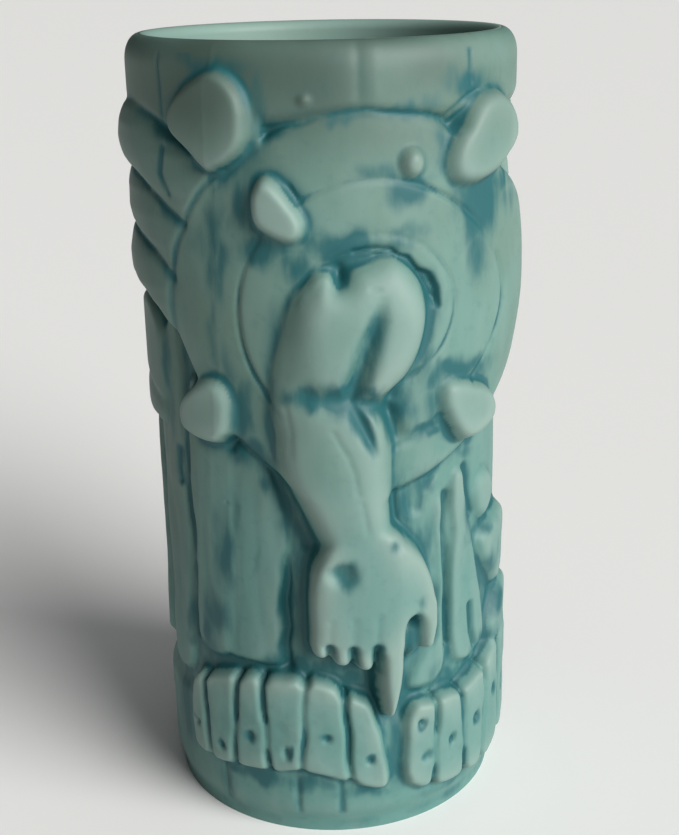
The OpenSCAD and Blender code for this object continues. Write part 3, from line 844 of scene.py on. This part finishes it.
def snap(az, z, clay):
    """How far to move points near a visible outline, onto it, so that pieces part along clean curves.

    Both moves are a share of the way to the next point of the grid.
    """
    step_s = np.radians(np.abs(spacing(az, 1))) * ARC_R
    step_z = np.abs(spacing(z, 0))
    covered = np.zeros(az.shape, bool)
    best = np.full(az.shape, FAR)
    move_s, move_z = np.zeros(az.shape), np.zeros(az.shape)
    for _, d in reversed(clay.laid):
        gs, gz = np.gradient(d, axis=1) / step_s, np.gradient(d, axis=0) / np.maximum(step_z, 1e-6)
        size = np.maximum(np.hypot(gs, gz), 0.3)
        reach = d / size
        take = ~covered & (np.abs(reach) < np.abs(best)) & (np.abs(reach) < 0.7 * FINE)
        best = np.where(take, reach, best)
        move_s = np.where(take, -reach * gs / size, move_s)
        move_z = np.where(take, -reach * gz / size, move_z)
        covered |= d < -0.5 * FINE
    free = smooth(z, CORNER_R + 1, CORNER_R + 2) * (1 - smooth(z, MUG_H - LIP_R - 2, MUG_H - LIP_R - 1))
    move_s = np.clip(move_s, -0.42 * step_s, 0.42 * step_s) * free
    move_z = np.clip(move_z, -0.42 * step_z, 0.42 * step_z) * free
    return move_s / step_s, move_z / np.maximum(step_z, 1e-6)


def slid(field, share_s, share_z):
    """The field at points moved by a share of the way to their neighbours."""
    side = np.where(share_s > 0, np.roll(field, -1, axis=1), np.roll(field, 1, axis=1))
    end = np.where(share_z > 0, np.roll(field, -1, axis=0), np.roll(field, 1, axis=0))
    return field + np.abs(share_s) * (side - field) + np.abs(share_z) * (end - field)


def centre_of(field):
    """Each cell's value from its four corners."""
    right = np.roll(field, -1, axis=1)
    return (field[:-1] + field[1:] + right[:-1] + right[1:]) / 4


def islands(label):
    """A number for each patch of touching cells with the same label."""
    ids = np.arange(label.size).reshape(label.shape)
    for turn_no in range(60):
        shift = label.shape[1] // 3 if turn_no % 2 else 0
        before = ids
        for flip in (False, True):
            l, v = np.roll(label, shift, 1), np.roll(ids, shift, 1)
            l, v = (l.T, v.T) if flip else (l, v)
            starts = np.ones(l.shape, bool)
            starts[:, 1:] = l[:, 1:] != l[:, :-1]
            first = np.flatnonzero(starts)
            lengths = np.diff(np.append(first, l.size))
            run = np.repeat(np.maximum.reduceat(v.ravel(), first), lengths).reshape(l.shape)
            ids = np.roll(run.T if flip else run, -shift, 1)
        if turn_no % 2 and (ids == before).all():
            break
    return ids


def labels_of(clay):
    """Which piece each cell of the grid belongs to; 0 is the bare wall."""
    label = np.zeros((AZ.shape[0] - 1, AZ.shape[1]), int)
    for i, (_, d) in enumerate(clay.laid, 1):
        label[centre_of(d) < 0] = i
    for _ in range(8):
        # Small patches join the piece on their left.
        ids = islands(label)
        small = np.bincount(ids.ravel(), minlength=label.size)[ids] < SMALLEST_PATCH
        label = np.where(small, np.roll(label, 1, axis=1), label)
    for _ in range(3):
        # Two cells of one piece that touch only at a corner are joined through a third.
        right, up = np.roll(label, -1, axis=1)[:-1], label[1:]
        over = np.roll(label, -1, axis=1)[1:]
        here = label[:-1]
        cross = (here == over) & (right == up) & (here != right)
        label[:-1][cross] = np.maximum(here, right)[cross]
    return label


# ---- meshes


def place(az, r, z):
    """Points in metres, from azimuth, radius and height in millimetres."""
    a = np.radians(az)
    return np.stack([r * np.sin(a), -r * np.cos(a), z], -1) / MM


def normals_of(points):
    """Outward normals of the grid of points, which closes on itself sideways."""
    sideways = np.roll(points, -1, axis=1) - np.roll(points, 1, axis=1)
    upward = np.gradient(points, axis=0)
    n = np.cross(sideways, upward)
    return n / np.maximum(np.linalg.norm(n, axis=2, keepdims=True), 1e-12)


def add_object(name, data):
    made = bpy.data.objects.new(name, data)
    bpy.context.scene.collection.objects.link(made)
    return made


def make_mesh(name, points, faces, normals=None, floats=()):
    mesh = bpy.data.meshes.new(name)
    mesh.vertices.add(len(points))
    mesh.vertices.foreach_set("co", points.astype(np.float32).ravel())
    mesh.loops.add(faces.size)
    mesh.loops.foreach_set("vertex_index", faces.astype(np.int32).ravel())
    mesh.polygons.add(len(faces))
    mesh.polygons.foreach_set("loop_start", np.arange(0, faces.size, 4, dtype=np.int32))
    mesh.update(calc_edges=True)
    mesh.polygons.foreach_set("use_smooth", np.ones(len(faces), bool))
    for label, values in floats:
        made = mesh.attributes.new(label, "FLOAT", "POINT")
        made.data.foreach_set("value", values.astype(np.float32))
    if normals is not None:
        mesh.normals_split_custom_set_from_vertices(normals.astype(np.float32).tolist())
    mesh.update()
    return add_object(name, mesh)


def slab(cells, outer, inner, normals, fields):
    """A closed mesh of some cells of the grid: the surface, a skin under it, and walls round its edge."""
    width = cells.shape[1]
    i, j = np.nonzero(cells)
    k = (j + 1) % width
    corners = np.stack([i * width + j, i * width + k, (i + 1) * width + k, (i + 1) * width + j], 1)
    used, index = np.unique(corners, return_inverse=True)
    index = index.reshape(corners.shape)
    n = len(used)
    edges = np.concatenate([index[:, [a, (a + 1) % 4]] for a in range(4)])
    key = np.sort(edges, axis=1)
    _, first, count = np.unique(key, axis=0, return_index=True, return_counts=True)
    rim = edges[first[count == 1]]
    walls = np.stack([rim[:, 1], rim[:, 0], rim[:, 0] + n, rim[:, 1] + n], 1)
    faces = np.concatenate([index, index[:, ::-1] + n, walls])
    points = np.concatenate([outer.reshape(-1, 3)[used], inner.reshape(-1, 3)[used]])
    turned = normals.reshape(-1, 3)[used]
    values = [(name, np.concatenate([f.ravel()[used]] * 2)) for name, f in fields]
    return points, faces, np.concatenate([turned, -turned]), values


# ---- build the clay

clay = sculpt(AZ, Z, PLAIN)
even_normals = normals_of(place(AZ, clay.r, Z))

# Where the blue wash stays: in hollows and creases, and not on high places.
fine_hollow = blur(clay.r, 2.5) - clay.r
wide_hollow = blur(clay.r, 9) - clay.r
high = np.clip(-wide_hollow / 1.5, 0, 1)
patchy = 0.85 + 0.3 * noise(AZ, Z, 5, 9, 91) + 0.15 * noise(AZ, Z, 1.8, 4, 92)
wash = np.clip(fine_hollow * 1.8 - 0.04, 0, 0.75) + np.clip(wide_hollow * 0.8 - 0.1, 0, 0.6)
wash = np.maximum(wash * patchy, clay.wash * (0.6 + 0.4 * patchy)) * (1 - smooth(Z, MUG_H - 2.6, MUG_H - 1.6))
# Painted shade: the glaze is darkened round the collar, less so on the right where the key light falls, and
# down the left side, away from the light.
rightward = np.sin(np.radians(AZ))
painted_shade = 0.9 * smooth(Z, 140, 163) * (1 - 0.75 * smooth(rightward, 0.3, 0.93))
painted_shade *= 0.8 + 0.3 * noise(AZ, Z, 12, 7, 93)
painted_shade = np.maximum(painted_shade, 0.4 * smooth(-rightward, 0.55, 0.95) * smooth(Z, 30, 70))

# The grid's points near an outline slide onto it, and take the values that the clay has there.
share_s, share_z = snap(AZ, Z, clay)
clay.laid = [(name, slid(d, share_s, share_z)) for name, d in clay.laid]
FIELDS = [
    (name, np.clip(slid(field, share_s, share_z), 0, 1))
    for name, field in (("wash", wash), ("high", high), ("painted_shade", painted_shade))
]
normals = np.stack([slid(even_normals[..., k], share_s, share_z) for k in range(3)], -1)
normals /= np.linalg.norm(normals, axis=2, keepdims=True)
surface_r = slid(clay.r, share_s, share_z)
AZ, Z = AZ + share_s * np.abs(spacing(AZ, 1)), Z + share_z * np.abs(spacing(Z, 0))
outer = place(AZ, surface_r, Z)
# The skin under the clay keeps inside the corner at the foot, and goes out under the lip.
rise = under_lip(Z)
deep_r = np.minimum(SKIN_R + (BODY_R - SKIN_R) * rise, PLAIN - 0.8 * (1 - rise))
inner = place(AZ, deep_r, np.clip(Z, 0.4, MUG_H - 1.5))
label = labels_of(clay)


# ---- materials


def feed(tree, made, inputs):
    """Links each input to a socket, or sets it where the value is a constant."""
    for key, value in inputs.items():
        if isinstance(value, bpy.types.NodeSocket):
            tree.links.new(value, made.inputs[key])
        else:
            made.inputs[key].default_value = value


def node(tree, kind, inputs, **values):
    made = tree.nodes.new(kind)
    for key, value in values.items():
        setattr(made, key, value)
    feed(tree, made, inputs)
    return made


def mix(tree, factor, a, b):
    return node(tree, "ShaderNodeMix", {0: factor, 6: a, 7: b}, data_type="RGBA").outputs[2]


def ramp(tree, value, low, high):
    inputs = {"Value": value, "From Min": low, "From Max": high}
    return node(tree, "ShaderNodeMapRange", inputs, interpolation_type="SMOOTHSTEP").outputs[0]


def times(tree, a, b):
    return node(tree, "ShaderNodeMath", {0: a, 1: b}, operation="MULTIPLY").outputs[0]


def plus(tree, a, b):
    return node(tree, "ShaderNodeMath", {0: a, 1: b}, operation="ADD").outputs[0]


def attribute(tree, name):
    return node(tree, "ShaderNodeAttribute", {}, attribute_name=name).outputs["Fac"]


def position(tree):
    return node(tree, "ShaderNodeTexCoord", {}).outputs["Object"]


def pattern(tree, scale, detail, stretch=(1, 1, 1)):
    where = node(tree, "ShaderNodeMapping", {"Vector": position(tree), "Scale": stretch}).outputs[0]
    return node(tree, "ShaderNodeTexNoise", {"Vector": where, "Scale": scale, "Detail": detail}).outputs[0]


CELADON = (0.112, 0.222, 0.192, 1)
SAGE = (0.106, 0.19, 0.156, 1)
SEA = (0.085, 0.205, 0.184, 1)
PALE = (0.185, 0.275, 0.245, 1)
# The colour of the painted light inside the mug
PAINTED_LIGHT_INSIDE = (0.2, 0.3, 0.265, 1)
TEAL = (0.009, 0.089, 0.098, 1)
# The colour of the painted shade
PAINTED_SHADE = (0.05, 0.085, 0.068, 1)


def glaze(name, washed=True):
    """Matt glaze: celadon, paler on high places, with a teal wash in the hollows and painted shade; the
    inside one is painted paler for light.
    """
    material = bpy.data.materials.new(name)
    material.use_nodes = True
    tree = material.node_tree
    shader = tree.nodes["Principled BSDF"]
    cloud = pattern(tree, 28, 3)
    streak = pattern(tree, 120, 4, (1, 1, 0.22))
    brush = pattern(tree, 210, 5, (1, 1, 0.3))
    fine = pattern(tree, 900, 3)
    height = node(tree, "ShaderNodeSeparateXYZ", {0: position(tree)}).outputs["Z"]
    colour = mix(tree, ramp(tree, cloud, 0.38, 0.66), SAGE, CELADON)
    colour = mix(tree, ramp(tree, height, 0.12, 0.05), colour, SEA)
    if washed:
        worn = times(tree, ramp(tree, brush, 0.4, 0.7), 0.22)
        colour = mix(tree, worn, colour, PALE)
        speck = times(tree, ramp(tree, pattern(tree, 420, 4), 0.52, 0.72), 0.14)
        colour = mix(tree, speck, colour, TEAL)
        colour = mix(tree, attribute(tree, "high"), colour, PALE)
        # Painted shade: darkens the collar's front and the left side.
        colour = mix(tree, attribute(tree, "painted_shade"), colour, PAINTED_SHADE)
        # The wash is brushed on, so its edge breaks up into streaks.
        wash_value = attribute(tree, "wash")
        strokes = plus(tree, plus(tree, streak, brush), -1.0)
        frayed = times(tree, strokes, plus(tree, wash_value, 0.25))
        broken = plus(tree, wash_value, times(tree, frayed, 1.9))
        colour = mix(tree, ramp(tree, broken, 0.05, 0.84), colour, TEAL)
    else:
        # Painted light: the inside is made paler to stand in for light falling into the mouth.
        colour = mix(tree, 0.8, colour, PAINTED_LIGHT_INSIDE)
    rough = node(tree, "ShaderNodeMapRange", {"Value": cloud, "To Min": 0.48, "To Max": 0.62}).outputs[0]
    grain = plus(tree, times(tree, streak, 0.8), times(tree, fine, 0.25))
    bump = node(tree, "ShaderNodeBump", {"Height": grain, "Strength": 0.25, "Distance": 0.0004}).outputs[0]
    feed(tree, shader, {"Base Color": colour, "Roughness": rough, "Normal": bump, "Specular IOR Level": 0.42})
    return material


outside_glaze = glaze("glaze_outside")
inside_glaze_painted_light = glaze("glaze_inside", washed=False)


# ---- pieces


def finish_piece(piece, materials=None):
    for material in materials or [outside_glaze]:
        piece.data.materials.append(material)
    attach(piece, "root")
    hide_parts(piece.name.removeprefix("clay_"))


def lathe(profile, columns_deg):
    """Points and faces of a profile turned round the axis. A closed profile gives a closed tube."""
    a, p = np.array(columns_deg), np.array(profile)
    points = place(a[None, :].repeat(len(p), 0), p[:, :1].repeat(len(a), 1), p[:, 1:].repeat(len(a), 1))
    m, n = len(p), len(a)
    i, j = [g.ravel() for g in np.meshgrid(np.arange(m), np.arange(n), indexing="ij")]
    ii, jj = (i + 1) % m, (j + 1) % n
    faces = np.stack([i * n + j, i * n + jj, ii * n + jj, ii * n + j], 1)
    return points.reshape(-1, 3), faces


def lathe_normals(profile, columns_deg):
    """Normals for lathe(): across the profile, from each point's two neighbours along it."""
    a, p = np.radians(columns_deg), np.array(profile)
    along = np.roll(p, -1, axis=0) - np.roll(p, 1, axis=0)
    n = np.stack([-along[:, 1], along[:, 0]], 1)
    n /= np.linalg.norm(n, axis=1, keepdims=True)
    grid = [n[:, :1] * np.sin(a), -n[:, :1] * np.cos(a), n[:, 1:].repeat(len(a), 1)]
    return np.stack(grid, -1).reshape(-1, 3)


names = [name for name, _ in clay.laid]
for number, name in enumerate(names, 1):
    points, faces, turned, values = slab(label == number, outer, inner, normals, FIELDS)
    piece = make_mesh("clay_" + name, points, faces, turned, values)
    finish_piece(piece)

# The wall: the bare clay that shows between the pieces, and the tube they are laid on.
points, faces, turned, values = slab(label == 0, outer, inner, normals, FIELDS)
# The tube stays a little under the skin of the clay.
under_r = SKIN_R - 0.15
tube = [(BORE_R, 0.45), (under_r - 2.1, 0.45), (under_r, 2.6)]
for z in np.linspace(SKIN_BEND, MUG_H - LIP_R, 9):
    tube.append((under_r + (BODY_R - SKIN_R) * float(under_lip(z)), z))
tube.append((BODY_R - 0.15, MUG_H - 0.2))
tube += [tuple(p) for p in quarter((BODY_R, MUG_H - LIP_BACK), LIP_BACK, 90, 180, 9)]
tube += [(MOUTH_R, MUG_H - LIP_BACK - 0.9 * k) for k in range(7)]
tube += [(BORE_R + LIP_FLARE * (1 - t) ** 2, MUG_H - 8 - 14 * t) for t in (0.15, 0.4, 0.7, 1.0)]
tube += [(BORE_R, z) for z in np.linspace(MUG_H - 30, FLOOR_T, 26)]
turns = np.arange(0, 360, 1.5)
tube_points, tube_faces = lathe(tube, turns)
tube_faces = tube_faces[:, ::-1] + len(points)
tube_normals = lathe_normals(tube, turns)
points = np.concatenate([points, tube_points])
faces = np.concatenate([faces, tube_faces])
turned = np.concatenate([turned, tube_normals])
values = [(name, np.concatenate([f, np.zeros(len(tube_points))])) for name, f in values]
bare = make_mesh("clay_vessel_wall", points, faces, turned, values)
finish_piece(bare, [outside_glaze, inside_glaze_painted_light])
inside = np.zeros(len(faces), np.int32)
inside[-len(tube_faces) :] = 1
bare.data.polygons.foreach_set("material_index", inside)

# The floor: a slab with a soft cove where it meets the bore.
floor_r, floor_top = BORE_R - 0.1, FLOOR_T - 0.3
profile = [(0.4, 0.0), (BORE_R - 0.8, 0.0), (floor_r, 0.4), (floor_r, FLOOR_T + 0.6)]
for a in np.linspace(0.1, 1.5, 6):
    profile.append((floor_r - 5 * math.sin(a), floor_top + 0.9 * (1 - math.sin(a)) ** 2))
profile += [(BORE_R * 0.6, floor_top), (BORE_R * 0.3, floor_top), (0.4, floor_top)]
turns = np.arange(0, 360, 3)
points, faces = lathe(profile, turns)
turned = lathe_normals(profile, turns)
floor_piece = make_mesh("clay_vessel_floor", points, faces[:, ::-1], turned)
finish_piece(floor_piece, [inside_glaze_painted_light])


# ---- the set

white = bpy.data.materials.new("paper")
white.use_nodes = True
paper = white.node_tree.nodes["Principled BSDF"]
feed(white.node_tree, paper, {"Base Color": (0.86, 0.86, 0.85, 1), "Roughness": 0.9})
mesh = bpy.data.meshes.new("paper_sheet")
mesh.from_pydata([(-40, -40, 0), (40, -40, 0), (40, 40, 0), (-40, 40, 0)], [], [(0, 1, 2, 3)])
mesh.materials.append(white)
add_object("paper_sheet", mesh)


def far_light(name, azimuth, elevation, spread_deg, power, colour):
    """A light from far off, so that it falls evenly on the whole floor."""
    light = bpy.data.lights.new(name, "SUN")
    light.angle = math.radians(spread_deg)
    light.energy = power
    light.color = colour
    made = add_object(name, light)
    a, e = math.radians(azimuth), math.radians(elevation)
    at = Vector((math.sin(a) * math.cos(e), -math.cos(a) * math.cos(e), math.sin(e)))
    made.matrix_world = Matrix.Translation(at) @ (-at).to_track_quat("-Z", "Y").to_matrix().to_4x4()


far_light("key", 49, 26, 45, 4.8, (1, 0.99, 0.97))
far_light("top", 70, 74, 70, 0.55, (1, 1, 1))
world = bpy.data.worlds.new("studio")
world.use_nodes = True
sky = world.node_tree.nodes["Background"]
feed(world.node_tree, sky, {"Color": (0.93, 0.97, 1, 1), "Strength": 0.05})
bpy.context.scene.world = world

# The camera is in front of the mug, a little above its rim and looking down at it.
PITCH, YAW, ROLL = math.radians(19.30), math.radians(0.4656), -0.0213
# How far in front of the mug's axis and how high it is, in heights of the mug
IN_FRONT, UP = 1.687, 1.0877
ahead = Vector((0, math.cos(PITCH), -math.sin(PITCH)))
level = Vector((1, 0, 0))
over = Vector((0, math.sin(PITCH), math.cos(PITCH)))
rolled = level * math.cos(ROLL) + over * math.sin(ROLL)
above = over * math.cos(ROLL) - level * math.sin(ROLL)
look = ahead * math.cos(YAW) + rolled * math.sin(YAW)
right = rolled * math.cos(YAW) - ahead * math.sin(YAW)
lens = bpy.data.cameras.new("camera")
lens.sensor_width = 36
lens.lens = 57.30
lens.clip_start = 0.01
camera = add_object("camera", lens)
turn = Matrix((right, above, -look)).transposed().to_4x4()
camera.matrix_world = Matrix.Translation((0, -IN_FRONT * MUG_H / MM, UP * MUG_H / MM)) @ turn
bpy.context.scene.camera = camera
bpy.context.scene.view_settings.view_transform = "Standard"
